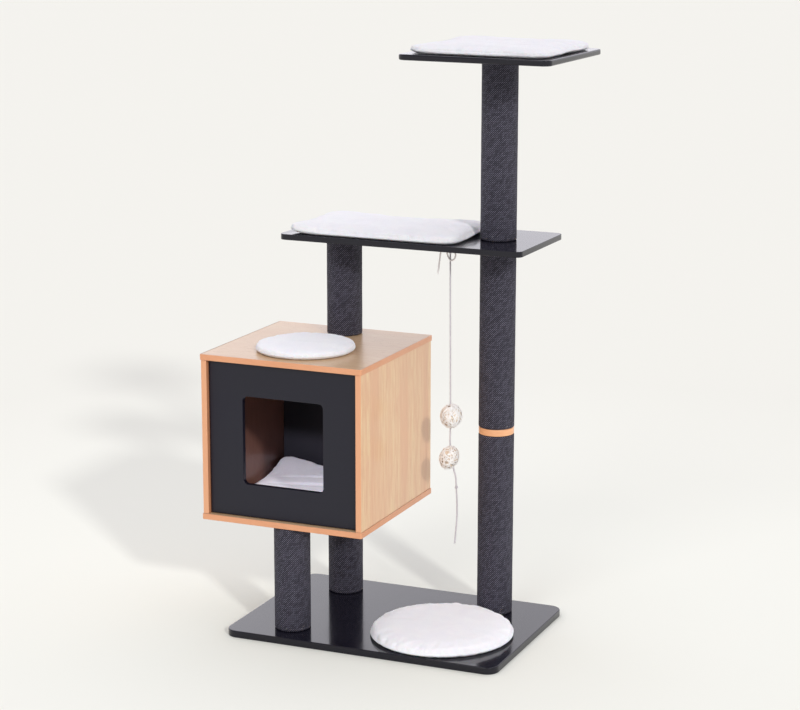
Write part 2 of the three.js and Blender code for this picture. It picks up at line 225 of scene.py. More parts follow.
def weave(name, axis, radius):
    """Black twisted-paper weave round a post: slanting strands in rows, each strand's crown given a painted
    highlight.
    """
    made = Finish(name, Roughness=0.72, Specular_IOR_Level=0.28)
    at = made.node("SeparateXYZ", {"Vector": made.place}).outputs
    x = made.math("SUBTRACT", at["X"], axis[0])
    y = made.math("SUBTRACT", at["Y"], axis[1])
    wobble = made.spread(made.noise(26.0, 2.0), 0.0, 1.0, -0.3, 0.3)
    round_post = made.math("MULTIPLY", made.math("ARCTAN2", y, x), radius / STRAND)
    rows = made.math("ADD", made.math("DIVIDE", at["Z"], ROW), made.math("MULTIPLY", wobble, 0.5))
    row = made.math("FLOOR", rows)
    within = made.math("FRACT", rows)
    slant = made.math("SUBTRACT", round_post, made.math("MULTIPLY", rows, STRAND_SLANT))
    shifted = made.math("ADD", slant, wobble)
    strand = made.spread(made.math("PINGPONG", shifted, 0.5), 0.08, 0.42)
    crown = made.spread(made.math("PINGPONG", within, 0.5), 0.0, 0.2, 0.7)
    relief = made.math("MULTIPLY", strand, crown)
    cell = made.node("CombineXYZ", {"X": made.math("FLOOR", shifted), "Y": row}).outputs[0]
    own = made.node("TexWhiteNoise", {"Vector": cell}, noise_dimensions="3D").outputs["Value"]
    patch = made.spread(made.noise(16.0, 3.0), 0.3, 0.7, 0.9, 1.0)
    # Painted highlight: each strand's crown is coloured lighter, more on some strands than others
    lit = made.math("MULTIPLY", made.math("MULTIPLY", relief, relief), made.spread(own, 0.0, 1.0, 0.45, 1.0))
    lit = made.math("MULTIPLY", lit, patch)
    fibres = made.noise(2600.0, 2.0, vector=made.stretched(1.0, 1.0, 0.4))
    dark = made.mixed(fibres, (0.009, 0.0082, 0.0135), (0.021, 0.0195, 0.03))
    made.drive("Base Color", made.mixed(made.spread(lit, 0.1, 0.8), dark, STRAND_PAINTED_HIGHLIGHT))
    soft = made.bump(fibres, 0.00012)
    made.drive("Normal", made.bump(relief, STRAND_RELIEF, under=soft))
    return made.material


def plush(name, painted_light_scale):
    """White short-pile plush: clumped pile, a soft sheen, and painted shade in a cooler tint in the hollows.
    """
    # The second argument scales the pile's colour pad by pad: painted light on a pad that sits in shade,
    # painted shade on pads in open light
    colour, shade = ([painted_light_scale * c for c in tone] for tone in (PILE, PILE_PAINTED_SHADE))
    sheen = {"Sheen_Weight": 0.35, "Sheen_Roughness": 0.45}
    depth = {"Subsurface_Weight": 0.12, "Subsurface_Scale": 0.004}
    made = Finish(name, Roughness=0.95, Specular_IOR_Level=0.1, **sheen, **depth)
    clumps = made.noise(420.0, 4.0, 0.6)
    pile = made.noise(1900.0, 2.0, 0.7)
    brushed = made.noise(24.0, 3.0, 0.5, 0.8)
    # Painted shade: the colour leans to the darker tone in the hollows between clumps, and a little in
    # brushed patches
    base = made.mixed(made.spread(brushed, 0.35, 0.65, 0.0, 0.3), colour, shade)
    made.drive("Base Color", made.mixed(made.spread(clumps, 0.52, 0.32, 0.0, 0.45), base, shade))
    rough = made.bump(pile, 0.0006)
    made.drive("Normal", made.bump(clumps, 0.0011, 0.7, under=rough))
    return made.material


def fibrous(name, pale, dark, roughness=0.8, scale=300.0, relief=0.0004):
    """Dry natural fibre: cotton cord, paper tube, rattan strip or turned wood."""
    made = Finish(name, Roughness=roughness, Specular_IOR_Level=0.3)
    strands = made.noise(scale, 4.0, 0.6, 0.4)
    broad = made.noise(scale / 9, 3.0)
    base = made.mixed(made.spread(broad, 0.4, 0.7, 0.0, 0.55), pale, dark)
    made.drive("Base Color", made.mixed(made.spread(strands, 0.48, 0.72, 0.0, 0.7), base, dark))
    made.drive("Normal", made.bump(strands, relief))
    return made.material


def zinc(name):
    """Zinc-plated steel, lightly scratched."""
    made = Finish(name, Metallic=1.0)
    scratches = made.noise(500.0, 3.0, 0.5, 0.0, made.stretched(1.0, 6.0, 1.0))
    made.drive("Base Color", made.mixed(scratches, (0.56, 0.57, 0.6), (0.72, 0.72, 0.74)))
    made.drive("Roughness", made.spread(scratches, 0.3, 0.7, 0.22, 0.42))
    made.drive("Normal", made.bump(scratches, 0.00003))
    return made.material


PILE = (0.89, 0.885, 0.9)
# painted shade of the pile, cooler and darker
PILE_PAINTED_SHADE = (0.79, 0.78, 0.83)
PALE = (0.81, 0.59, 0.33)
WARM = (0.73, 0.425, 0.245)
PORE = (0.6, 0.32, 0.19)
LEVEL_TONES = [(0.59, 0.42, 0.255), (0.56, 0.365, 0.21), (0.47, 0.285, 0.165)]
STRIP = (0.73, 0.345, 0.18)
# Streaks printed on the edge strip; also the painted shade on the inner faces in the recess in front of the
# window panel
STRIP_STREAK_AND_RECESS_SHADE = (0.63, 0.27, 0.13)
# Painted shade for the house's inner faces, and the darker grain within it
INSIDE_PAINTED_SHADE = (0.2, 0.088, 0.062)
INSIDE_PAINTED_SHADE_PORE = (0.14, 0.06, 0.045)


def house_inside():
    """The house's middle, half the width between its sides, and the backs of edge strip and recess."""
    left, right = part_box("house_left_side"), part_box("house_right_side")
    half_width = (right[0].x - left[1].x) / 2 + 0.3 * MM
    return (left[0].x + right[1].x) / 2, half_width, left[0].y + 0.8 * MM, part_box("house_front")[0].y


GLOSS = lacquer("black_lacquer", (0.0042, 0.0039, 0.0085), 0.14, 0.00001, 0.3, 0.05, 0.25)
SATIN = lacquer("black_satin_paint", (0.0052, 0.0048, 0.012), 0.42, 0.00004, 0.0, 0.3, 0.42)
BACK = lacquer("black_back_paint", (0.0125, 0.012, 0.0165), 0.5, 0.00005, 0.0, 0.3, 0.35)
SIDES = grained("beech_print_upright", (PALE, WARM, PORE), "Z", 0.4, 0.35, 0.00006, house_inside())
LEVELS = grained("beech_print_level", LEVEL_TONES, "X", 0.3, 0.06, 0.000012)
EDGES = edge_strip("edge_strip_print", STRIP, STRIP_STREAK_AND_RECESS_SHADE)
DISC = edge_strip("turned_disc_wood", (0.86, 0.46, 0.235), (0.68, 0.31, 0.145))
COTTON = fibrous("cotton_cord", (0.61, 0.575, 0.6), (0.48, 0.45, 0.475), 0.85, 900.0, 0.0002)
# The same cord coloured lighter, as painted light, for the bow and its loose end under the shelf
COTTON_PAINTED_LIGHT = fibrous("cotton_cord_painted_light", (0.96, 0.9, 0.88), (0.84, 0.77, 0.75), 0.85, 900.0, 0.0002)
RATTAN = fibrous("rattan_strip", (0.93, 0.92, 0.91), (0.9, 0.84, 0.77), 0.6, 160.0, 0.0003)
LINING = fibrous("tan_rattan", (0.84, 0.74, 0.62), (0.7, 0.47, 0.29), 0.7, 160.0, 0.0003)
PAPER = fibrous("wound_paper", (0.42, 0.32, 0.21), (0.3, 0.22, 0.14), 0.9, 80.0)
PLUG_WOOD = fibrous("plug_wood", (0.55, 0.4, 0.22), (0.4, 0.26, 0.13), 0.7, 60.0)
STEEL = zinc("zinc_plated_steel")

# ---- tools for shapes


def shade_smooth(mesh):
    mesh.polygons.foreach_set("use_smooth", [True] * len(mesh.polygons))


def add(name, points, faces, material, body="stand"):
    """A new piece made from points and faces, riding on a CAD body."""
    mesh = bpy.data.meshes.new(name)
    mesh.from_pydata([tuple(p) for p in points], [], faces)
    shell = bmesh.new()
    shell.from_mesh(mesh)
    bmesh.ops.recalc_face_normals(shell, faces=shell.faces)
    shell.to_mesh(mesh)
    shell.free()
    shade_smooth(mesh)
    mesh.materials.append(material)
    made = bpy.data.objects.new(name, mesh)
    scene.collection.objects.link(made)
    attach(made, body)
    return made


def settle(piece):
    """Applies a piece's modifiers."""
    seen = piece.evaluated_get(bpy.context.evaluated_depsgraph_get())
    mesh = bpy.data.meshes.new_from_object(seen)
    piece.modifiers.clear()
    piece.data = mesh


def band(here, there, count):
    """Faces between two rings of points whose first points are `here` and `there`."""
    pairs = [(k, (k + 1) % count) for k in range(count)]
    return [(here + j, here + k, there + k, there + j) for j, k in pairs]


def swept(path, normals, sections, closed=False):
    """Points and faces of a body swept along a path.

    The outline of ring i is sections[i], as (across, outward).
    """
    path, normals, sections = (np.asarray(a, float) for a in (path, normals, sections))
    if closed:
        tangents = np.roll(path, -1, 0) - np.roll(path, 1, 0)
    else:
        tangents = np.gradient(path, axis=0)
    tangents /= np.linalg.norm(tangents, axis=1)[:, None]
    across = np.cross(tangents, normals)
    rings = path[:, None] + sections[..., :1] * across[:, None]
    rings = rings + sections[..., 1:] * normals[:, None]
    count, sides = rings.shape[:2]
    faces = []
    for i in range(count if closed else count - 1):
        faces += band(i * sides, (i + 1) % count * sides, sides)
    if not closed:
        faces += [tuple(range(sides)), tuple(range((count - 1) * sides, count * sides))]
    return rings.reshape(-1, 3), faces


def joined(parts):
    """Several (points, faces) as one."""
    points, faces = [], []
    for some, more in parts:
        faces += [tuple(len(points) + i for i in face) for face in more]
        points += [tuple(p) for p in some]
    return points, faces


def lumps(x, y, z):
    return noise.noise(Vector((x, y, z)))


def route_through(points, step):
    """A smooth route through the given points, resampled at an even step."""
    p = np.array(points, float)
    p = np.vstack([2 * p[0] - p[1], p, 2 * p[-1] - p[-2]])
    t = np.linspace(0, 1, 40, endpoint=False)[:, None]
    fine = []
    for a, b, c, d in zip(p, p[1:], p[2:], p[3:]):
        bend = 2 * a - 5 * b + 4 * c - d
        fine.append(0.5 * (2 * b + (c - a) * t + bend * t**2 + (3 * b - a - 3 * c + d) * t**3))
    fine = np.vstack(fine + [p[-2:-1]])
    run = np.concatenate([[0], np.cumsum(np.linalg.norm(np.diff(fine, axis=0), axis=1))])
    at = np.linspace(0, run[-1], max(3, int(round(run[-1] / step)) + 1))
    return np.stack([np.interp(at, run, fine[:, k]) for k in range(3)], 1), run[-1]


def carried_normals(path, first):
    """Normals carried along a path without twisting."""
    tangents = np.gradient(path, axis=0)
    normal = np.array(first, float)
    made = []
    for tangent in tangents / np.linalg.norm(tangents, axis=1)[:, None]:
        normal = normal - tangent * (normal @ tangent)
        normal /= np.linalg.norm(normal)
        made.append(normal)
    return np.array(made)


def round_section(radius, sides):
    turn = np.linspace(0, 2 * math.pi, sides, endpoint=False)
    return radius * np.stack([np.cos(turn), np.sin(turn)], 1)


def turned_faces(sides, rows):
    """Faces between the closed profiles, of `rows` points each, that stand round an axis."""
    faces = []
    for k in range(sides):
        here, there = k * rows, (k + 1) % sides * rows
        faces += [(here + j, there + j, there + (j + 1) % rows, here + (j + 1) % rows) for j in range(rows)]
    return faces


def rod(points, step, radius, sides, first=(0, 1, 0.1)):
    """A round rod along a smooth route through the points."""
    path, _length = route_through(points, step)
    return swept(path, carried_normals(path, first), [round_section(radius, sides)] * len(path))


def lathe(axis, profile, sides):
    """Points and faces of a closed [radius, z] profile turned about an upright axis."""
    points = []
    for k in range(sides):
        turn = 2 * math.pi * k / sides
        points += [(axis[0] + r * math.cos(turn), axis[1] + r * math.sin(turn), z) for r, z in profile]
    return points, turned_faces(sides, len(profile))


# ---- hanging toy

CORD = 3.5 * MM
PLIES = 3
PLY_PITCH = 11 * MM
HOOK_X = (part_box("screw_eye")[0].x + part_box("screw_eye")[1].x) / 2
HOOK_Y = (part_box("screw_eye")[0].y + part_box("screw_eye")[1].y) / 2
KNOT_TOP = 791.55 * MM
KNOT_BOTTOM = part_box("toy_knot")[0].z

# Each route is [x, z] in millimetres, in the plane of the hook.
UPPER_ROUTE = [(82.5, 784.25), (83.2, 680), (84, 580), (84.8, 470), (85, 417.3)]
LOWER_ROUTE = [(85, 416.4), (84.6, 385), (87.5, 357), (92.5, 330), (97.6, 312), (98.7, 297)]
LOWER_ROUTE += [(99.6, 282), (101, 256), (101, 224), (99, 195), (96.6, 169)]
# The bow and the loose end, from the top of the knot, in front of it.
BOW_FORWARD = 6 * MM
BOW_ROUTE = [(6.5, 1), (11.3, -1), (14, -8), (11.5, -16), (6, -19.6), (0.3, -16.6)]
BOW_ROUTE += [(-3.6, -9), (-6.8, -1), (-13, 1), (-18.6, -4), (-21, -20), (-24.5, -46)]
LOOSE_END = (58 * MM, 745.2 * MM)  # [x, z] of the bow's cut end
TAIL_END = (96.6 * MM, 169 * MM)  # and of the cord's lower end


def twisted(path):
    """A cord of three twisted plies along a path."""
    turn = np.linspace(0, 2 * math.pi, 4 * PLIES, endpoint=False)
    run = np.concatenate([[0], np.cumsum(np.linalg.norm(np.diff(path, axis=0), axis=1))])
    lay = 2 * math.pi * run[:, None] / PLY_PITCH
    radius = CORD / 2 * (0.95 + 0.05 * np.cos(PLIES * (turn[None] - lay / PLIES)))
    sections = np.stack([radius * np.cos(turn), radius * np.sin(turn)], 2)
    return swept(path, carried_normals(path, (0, 1, 0)), sections)


def toy_cord(name, route, node, body, far_end, lay, exit_point, material=COTTON):
    path, length = route_through([(x * MM, y, z * MM) for x, y, z in route], 0.8 * MM)
    made = add(name, *twisted(path), material, body)
    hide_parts(node)
    places = [tuple(float(v) for v in p) for p in path[::5]] + [tuple(float(v) for v in path[-1])]
    settings = {"stiffness": "limp", "lay": lay, "path": places}
    return made, dict(exit=exit_point, length=length, diameter=CORD, far_end=far_end, **settings)


def frayed_end(name, at, down, body, seed, material=COTTON):
    """A few loose fibres at a cut end of cord."""
    draw = random.Random(seed)
    strands = []
    for _ in range(9):
        lean = Vector((draw.uniform(-0.5, 0.5), draw.uniform(-0.5, 0.5), draw.uniform(-0.25, 0.25)))
        side = Vector((draw.uniform(-1, 1), draw.uniform(-1, 1), 0)) * CORD * 0.3
        reach = draw.uniform(3, 6.5) * MM
        start = Vector(at) + side - Vector(down) * MM
        points = [start, start + (Vector(down) + lean * 0.4) * reach / 2]
        points.append(start + (Vector(down) + lean) * reach)
        strands.append(rod(points, MM, 0.16 * MM, 5))
    made = add(name, *joined(strands), material, body)
    return made


def tied_knot(centre, radius, height, tube):
    """A small overhand knot drawn tight."""
    turn = np.linspace(0, 2 * math.pi, 90, endpoint=False)
    swing = 2 + np.cos(3 * turn)
    path = np.stack([swing * np.cos(2 * turn) / 3, swing * np.sin(2 * turn) / 3, np.sin(3 * turn)], 1)
    path = path * [radius - tube, radius - tube, height / 2 - tube] + np.array(centre)
    normals = path - np.array(centre) + [0, 0, 1e-5]
    normals /= np.linalg.norm(normals, axis=1)[:, None]
    return swept(path, normals, [round_section(tube, 10)] * len(path), closed=True)


def tie_loop(centre, radius, tube):
    turn = np.linspace(0, 2 * math.pi, 40, endpoint=False)
    normals = np.stack([0 * turn, np.cos(turn), np.sin(turn)], 1)
    section = round_section(tube, 10)
    return swept(np.array(centre) + radius * normals, normals, [section] * len(turn), closed=True)


def hanging_knot():
    low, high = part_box("toy_knot")
    knot = tied_knot((HOOK_X, HOOK_Y, (low.z + KNOT_TOP) / 2), 3.9 * MM, KNOT_TOP - low.z, 1.25 * MM)
    loop = tie_loop((HOOK_X, HOOK_Y, high.z - 3.6 * MM - CORD / 2), 3.6 * MM, CORD / 2)
    made = add("tied_knot", *joined([knot, loop]), COTTON, "toy_tie")
    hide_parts("toy_knot")
    return made


def tail_knot():
    low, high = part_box("toy_tail_knot")
    made = add("tail_knot", *tied_knot((low + high) / 2, 3.7 * MM, 6.2 * MM, 1.3 * MM), COTTON, "toy_lower")
    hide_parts("toy_tail_knot")
    return made


STRIP_THICK = 0.9 * MM


def wound_strips(draw, radius, count, width):
    """Flat strips wound round a ball in every direction, passing over and under each other."""
    turn = np.linspace(0, 2 * math.pi, 72, endpoint=False)
    strips = []
    for k in range(count):
        pole = Vector((draw.gauss(0, 1), draw.gauss(0, 1), draw.gauss(0, 1))).normalized()
        first = pole.orthogonal().normalized()
        second = pole.cross(first)
        wave = draw.uniform(0, 6.28)
        depth = radius - (1.1 + 0.55 * (k % 4) + 0.4 * np.sin(5 * turn + wave)) * MM
        tilt = 0.16 * np.sin(2 * turn + wave)
        flat = np.outer(np.cos(turn), first) + np.outer(np.sin(turn), second) + np.outer(tilt, pole)
        outward = flat / np.linalg.norm(flat, axis=1)[:, None]
        half = width * draw.uniform(0.34, 0.56)
        rim = STRIP_THICK / 2
        section = [(-half, -rim * 0.5), (-half * 0.7, -rim), (half * 0.7, -rim), (half, -rim * 0.5)]
        section += [(half, rim * 0.5), (half * 0.7, rim), (-half * 0.7, rim), (-half, rim * 0.5)]
        strips.append(swept(outward * depth[:, None], outward, [section] * len(turn), closed=True))
    return strips


def stray_ends(draw, radius):
    """Short ends of strip that curl out at the foot of a ball."""
    ends = []
    for _ in range(9):
        out = Vector((draw.uniform(-0.9, 0.5), draw.uniform(-0.7, 0.3), -draw.uniform(0.5, 1)))
        out.normalize()
        along = out.orthogonal().normalized() * draw.choice((-1, 1)) * draw.uniform(4, 8) * MM
        route = [out * (radius - 2 * MM), out * (radius - 0.6 * MM) + along * 0.5]
        route.append(out * (radius + 0.8 * MM) + along)
        ends.append(rod(route, 0.8 * MM, 0.35 * MM, 6))
    return ends


def woven_ball(name, node, body, squeeze, lean, seed):
    """A ball wound from pale narrow strips over broad tan ones. Returns its two pieces."""
    draw = random.Random(seed)
    low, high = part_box(node)
    centre, radius = (low + high) / 2, (high.z - low.z) / 2 - 0.4 * MM
    shape = Matrix.Rotation(lean, 3, "Y") @ Matrix.Diagonal(squeeze)
    outer = wound_strips(draw, radius, 36, 1.8 * MM) + stray_ends(draw, radius - MM)
    inner = wound_strips(draw, radius - 2.6 * MM, 30, 4.2 * MM)
    made = []
    for kind, strips, material in (("", outer, RATTAN), ("_lining", inner, LINING)):
        points, faces = joined(strips)
        points = [centre + shape @ Vector(p) for p in points]
        made.append(add(name + kind, points, faces, material, body))
    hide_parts(node)
    return made


def toy():
    knot = hanging_knot()
    upper_ball = woven_ball("woven_ball_upper", "toy_ball_upper", "toy_upper", (0.98, 0.98, 1.08), 0.2, 5)
    lower_ball = woven_ball("woven_ball_lower", "toy_ball_lower", "toy_lower", (0.86, 0.92, 1.1), 0.35, 8)
    small_knot = tail_knot()
    flat = HOOK_Y
    front = HOOK_Y - BOW_FORWARD
    bow_points = [(HOOK_X / MM + x, front, KNOT_TOP / MM + z) for x, z in BOW_ROUTE]
    upper_points = [(x, flat, z) for x, z in UPPER_ROUTE]
    lower_points = [(x, flat, z) for x, z in LOWER_ROUTE]
    # The bow uses the lighter cotton: painted light where the shelf shades it
    bow, bow_facts = toy_cord(
        "cord_bow", bow_points, "toy_bow", "toy_tie", "bare", "loose", (HOOK_X, HOOK_Y, KNOT_TOP), COTTON_PAINTED_LIGHT
    )
    upper, upper_facts = toy_cord(
        "cord_upper", upper_points, "toy_cord_upper", "toy_upper", "object", "hanging",
        (HOOK_X, HOOK_Y, KNOT_BOTTOM),
    )
    bend = tuple(v * s for v, s in zip(lower_points[0], (MM, 1, MM)))
    lower, lower_facts = toy_cord(
        "cord_lower", lower_points, "toy_cord_lower", "toy_lower", "bare", "hanging", bend
    )
    x, z = LOOSE_END
    # Its fibres are in the same painted-light cotton
    loose_end = frayed_end("loose_end_fibres", (x, front, z), (-0.13, 0, -1), "toy_tie", 3, COTTON_PAINTED_LIGHT)
    x, z = TAIL_END
    tail_end = frayed_end("tail_end_fibres", (x, flat, z), (-0.09, 0, -1), "toy_lower", 4)


toy()

# ---- posts


WRAP_SIDES = 132
WRAP_STEP = 3.0 * MM


def wrap(node, seed):
    """A post's woven wrap: not quite even, with soft rolled ends and a lapped seam at the back."""
    low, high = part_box(node)
    axis = ((low.x + high.x) / 2, (low.y + high.y) / 2)
    radius = (high.x - low.x) / 2
    inner = radius - 4.7 * MM
    sides = WRAP_SIDES
    rows = int((high.z - low.z) / WRAP_STEP)
    points = []
    for k in range(sides):
        turn = 2 * math.pi * k / sides
        c, s = math.cos(turn), math.sin(turn)
        seam = 0.5 * MM * max(0.0, 1 - abs(turn - math.pi / 2) / 0.06)
        uneven = lumps(2.4 * c, 2.4 * s, seed)
        worn = abs(lumps(9 * c, 9 * s, seed + 4)) * MM
        rim, shoulder = radius - 2.4 * MM, radius - 0.7 * MM
        profile = [(inner, low.z), (rim, low.z + worn), (shoulder, low.z + 0.5 * MM + worn)]
        for j in range(rows + 1):
            z = low.z + 2 * MM + (high.z - low.z - 4 * MM) * j / rows
            swell = lumps(3 * c, 3 * s, z * 30 + seed)
            profile.append((radius + 0.3 * MM + (0.2 * swell + 0.1 * uneven) * MM - seam, z))
        profile += [(shoulder, high.z - 0.5 * MM), (rim, high.z), (inner, high.z)]
        points += [(axis[0] + r * c, axis[1] + r * s, z) for r, z in profile]
    faces = turned_faces(sides, len(profile))
    name = node.replace("_wrap", "_weave")
    made = add(name, points, faces, weave(name + "_black", axis, radius))
    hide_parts(node)
    return axis, radius, low.z


BROWN_FIBRE = fibrous("brown_fibre", (0.4, 0.27, 0.15), (0.2, 0.12, 0.06), 0.8, 500.0)
WHITE_FIBRE = fibrous("white_fibre", (0.85, 0.84, 0.83), (0.6, 0.58, 0.55), 0.8, 500.0)


def loose_fibres(name, axis, radius, z, seed):
    """Short fibres that stick out of the wrap just above its lower end."""
    draw = random.Random(seed)
    for kind, material, count in (("brown", BROWN_FIBRE, 12), ("white", WHITE_FIBRE, 5)):
        strands = []
        for _ in range(count):
            turn = draw.uniform(0, 2 * math.pi)
            out = Vector((math.cos(turn), math.sin(turn), 0))
            along = Vector((-out.y, out.x, 0)) * draw.uniform(-1, 1)
            start = Vector((*axis, z)) + out * (radius - 0.6 * MM)
            start.z += abs(draw.gauss(0, 1)) * 5 * MM + 0.8 * MM
            reach = draw.uniform(2, 5) * MM
            rise = Vector((0, 0, draw.uniform(-0.1, 0.7)))
            ends = [start, start + (out * 0.7 + along * 0.5) * reach * 0.5]
            ends.append(start + (out * 0.5 + along + rise) * reach)
            strands.append(rod(ends, MM, 0.14 * MM, 5, (0, 0.1, 1)))
        add(f"{name}_{kind}_fibres", *joined(strands), material)


POSTS = ["front_post", "rear_post", "upper_rear_post"]
POSTS += ["main_post_lower", "main_post_middle", "main_post_upper"]


def posts():
    for number, post in enumerate(POSTS):
        axis, radius, z = wrap(post + "_wrap", 10.0 * number)
        loose_fibres(post, axis, radius, z, number)


posts()

# ---- boards

CORNER_STEPS = 14
BOLT_CLEARANCE = 4.3 * MM
HEAD_CLEARANCE = 9.3 * MM
HEAD_DEPTH = 5 * MM
BOLT_REACH = 30 * MM
HOLE_SIDES = 32
SCREW_RADIUS, SCREW_DEPTH = 1.8 * MM, 8.3 * MM  # the screw eye's hole


def rounded_outline(width, depth, corner):
    """Points anticlockwise round a rectangle with round corners, about its middle."""
    points = []
    for quarter, (sx, sy) in enumerate(((1, 1), (-1, 1), (-1, -1), (1, -1))):
        middle = (sx * (width / 2 - corner), sy * (depth / 2 - corner))
        for k in range(CORNER_STEPS + 1):
            turn = (quarter + k / CORNER_STEPS) * math.pi / 2
            points.append((middle[0] + corner * math.cos(turn), middle[1] + corner * math.sin(turn)))
    return points


def prism(outline, low, high):
    """Points and faces of an upright prism from z = low to z = high."""
    count = len(outline)
    points = [(x, y, low) for x, y in outline] + [(x, y, high) for x, y in outline]
    faces = [tuple(range(count))[::-1], tuple(range(count, 2 * count))] + band(0, count, count)
    return points, faces


def countersunk(axis, z, up):
    """The hole for a countersunk bolt whose head sits at height z and faces up or down."""
    into = -1 if up else 1
    profile = [(0.0, z - into * MM), (HEAD_CLEARANCE, z - into * MM), (HEAD_CLEARANCE, z)]
    profile += [(BOLT_CLEARANCE, z + into * HEAD_DEPTH), (BOLT_CLEARANCE, z + into * BOLT_REACH)]
    profile += [(0.0, z + into * BOLT_REACH)]
    return lathe(axis, profile, HOLE_SIDES)


def straight(axis, radius, low, high, sides=HOLE_SIDES):
    """A plain round hole from z = low to z = high."""
    return lathe(axis, [(0.0, low), (radius, low), (radius, high), (0.0, high)], sides)


def cut(piece, cutters):
    """Cuts shapes out of a piece."""
    helpers = []
    for number, (points, faces) in enumerate(cutters):
        tool = add(f"cutter_{number}", points, faces, GLOSS)
        helpers.append(tool)
        welded = bmesh.new()
        welded.from_mesh(tool.data)
        bmesh.ops.remove_doubles(welded, verts=welded.verts, dist=1e-6)
        bmesh.ops.recalc_face_normals(welded, faces=welded.faces)
        welded.to_mesh(tool.data)
        welded.free()
        change = piece.modifiers.new("cut", "BOOLEAN")
        change.object = tool
        change.operation = "DIFFERENCE"
        change.solver = "EXACT"
    if helpers:
        settle(piece)
    for tool in helpers:
        bpy.data.objects.remove(tool, do_unlink=True)


def soften(piece, edge):
    """Rounds a board's hard edges, with true normals on its flat faces."""
    shade_smooth(piece.data)
    rounding = piece.modifiers.new("edges", "BEVEL")
    rounding.width = edge
    rounding.segments = 4
    rounding.limit_method = "ANGLE"
    rounding.angle_limit = math.radians(50)
    rounding.harden_normals = True
    settle(piece)


def board(name, node, corner, edge, material, cutters=(), standing=False):
    """A board as large as its CAD node, with round corners and softly rounded edges."""
    low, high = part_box(node)
    size, centre = high - low, (low + high) / 2
    if standing:
        points, faces = prism(rounded_outline(size.x, size.z, corner), -size.y / 2, size.y / 2)
        points = [(centre.x + x, centre.y - z, centre.z + y) for x, y, z in points]
    else:
        points, faces = prism(rounded_outline(size.x, size.y, corner), -size.z / 2, size.z / 2)
        points = [(centre.x + x, centre.y + y, centre.z + z) for x, y, z in points]
    made = add(name, points, faces, material)
    cut(made, cutters)
    soften(made, edge)
    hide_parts(node)


def middle_of(node):
    low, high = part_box(node)
    return ((low.x + high.x) / 2, (low.y + high.y) / 2)


def boards():
    base_holes = [countersunk(middle_of(f"base_bolt_{at}"), 0.0, False) for at in ("front", "rear", "main")]
    board("lacquered_base", "base_board", 26 * MM, 2 * MM, GLOSS, base_holes)
    low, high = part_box("middle_shelf")
    middle_holes = [
        countersunk(middle_of("shelf_bolt"), high.z, True),
        straight(middle_of("shelf_stud"), BOLT_CLEARANCE, low.z - MM, high.z + MM),
        straight((HOOK_X, HOOK_Y), SCREW_RADIUS, low.z - MM, low.z + SCREW_DEPTH, 24),
    ]
    board("lacquered_middle_shelf", "middle_shelf", 14 * MM, 3 * MM, GLOSS, middle_holes)
    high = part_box("top_shelf")[1]
    top_holes = [countersunk(middle_of("top_shelf_bolt"), high.z, True)]
    board("lacquered_top_shelf", "top_shelf", 18 * MM, 3 * MM, GLOSS, top_holes)


boards()


def spacer_disc():
    """The turned wooden disc between two lengths of the main post."""
    low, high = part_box("spacer_disc")
    radius = (high.x - low.x) / 2
    edge = 1.2 * MM
    flat = radius - edge
    turns = [math.pi / 2 * k / 5 for k in range(6)]
    outer = [(flat + edge * math.sin(t), low.z + edge - edge * math.cos(t)) for t in turns]
    outer += [(flat + edge * math.cos(t), high.z - edge + edge * math.sin(t)) for t in turns]
    profile = [(BOLT_CLEARANCE, low.z), *outer, (BOLT_CLEARANCE, high.z)]
    made = add("turned_spacer_disc", *lathe(middle_of("spacer_disc"), profile, 96), DISC)
    made.data.set_sharp_from_angle(angle=math.radians(40))
    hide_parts("spacer_disc")


spacer_disc()

# ---- house


GAP = 0.3 * MM  # between the house's boards and the edge strips round them
PAST = 5 * MM  # how far a cutter reaches past the board it cuts
DOORWAY = (180 * MM, 185 * MM, 10 * MM)  # width, height and corner


def house():
    for level in ("floor", "roof"):
        low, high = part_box(f"house_{level}")
        width, depth = high.x - low.x + 2 * GAP, high.y - low.y + 2 * GAP
        x, y = middle_of(f"house_{level}")
        points, faces = prism(rounded_outline(width, depth, 1.5 * MM), low.z - PAST, high.z + PAST)
        opening = [(x + px, y + py, pz) for px, py, pz in points], faces
        name = f"{level}_edge_strip"
        board(name, f"house_{level}_edging", 3.5 * MM, 1.8 * MM, EDGES, [opening])
    low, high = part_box("house_front")
    x, z = (low.x + high.x) / 2, (low.z + high.z) / 2
    points, faces = prism(rounded_outline(*DOORWAY), low.y - PAST, high.y + PAST)
    doorway = [(x + px, pz, z + py) for px, py, pz in points], faces
    board("satin_front", "house_front", 2.5 * MM, 1.5 * MM, SATIN, [doorway], standing=True)


house()


def paint(nodes, material):
    """Gives CAD nodes that stay as they are a finer material."""
    for node in nodes:
        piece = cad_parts[node]
        for held in piece.material_slots:
            held.material = material


def paint_cad_nodes():
    ends = [f"{post}_plug_{end}" for post in POSTS for end in ("lower", "upper")]
    bolts = [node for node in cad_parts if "bolt" in node or "stud" in node]
    paint(["house_left_side", "house_right_side"], SIDES)
    paint(["house_floor", "house_roof"], LEVELS)
    paint(["house_back"], BACK)
    paint([f"{post}_tube" for post in POSTS], PAPER)
    paint(ends, PLUG_WOOD)
    paint([*bolts, "screw_eye"], STEEL)


paint_cad_nodes()

# ---- plush pads

